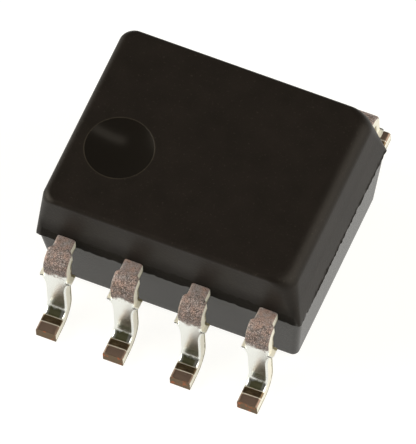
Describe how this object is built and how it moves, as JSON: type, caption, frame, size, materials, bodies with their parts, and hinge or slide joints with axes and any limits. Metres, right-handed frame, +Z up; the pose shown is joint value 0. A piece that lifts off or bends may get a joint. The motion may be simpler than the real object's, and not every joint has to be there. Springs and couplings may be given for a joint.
{
  "type": "soic chip",
  "caption": "Small-outline isolator chip: a tall black moulded body with a round mark near the first lead, standing on two rows of formed gull-wing leads.",
  "frame": {"origin": "on the seating plane, under the middle of the body", "axes": "+X along the rows of leads, from lead 1 to lead 4; +Y across the body, from leads 1 to 4 towards leads 5 to 8; +Z up from the board"},
  "size_m": [0.005, 0.006, 0.0028],
  "materials": {
    "moulding": "fine matt moulded epoxy",
    "tin": "satin tin plating, grainy over the knee, with bare copper on the cut tip",
    "silicon": "polished",
    "emitter_chip": "polished",
    "silver_paste": "matt",
    "silicone": "clear gel",
    "gold": "drawn bright"
  },
  "bodies": {
    "root": {"body": "moulding", "lead_1": "tin", "lead_2": "tin", "lead_3": "tin", "lead_4": "tin", "lead_5": "tin", "lead_6": "tin", "lead_7": "tin", "lead_8": "tin", "emitter_1": "emitter_chip", "emitter_2": "emitter_chip", "emitter_bond_1": "silver_paste", "emitter_bond_2": "silver_paste", "detector_1": "silicon", "detector_2": "silicon", "detector_bond_1": "silver_paste", "detector_bond_2": "silver_paste", "clear_coat": "silicone", "emitter_wire_1": "gold", "emitter_wire_2": "gold", "output_wire_1": "gold", "output_wire_2": "gold", "ground_wire_1": "gold", "ground_wire_2": "gold", "supply_wire": "gold", "supply_link": "gold"}
  },
  "joints": []
}
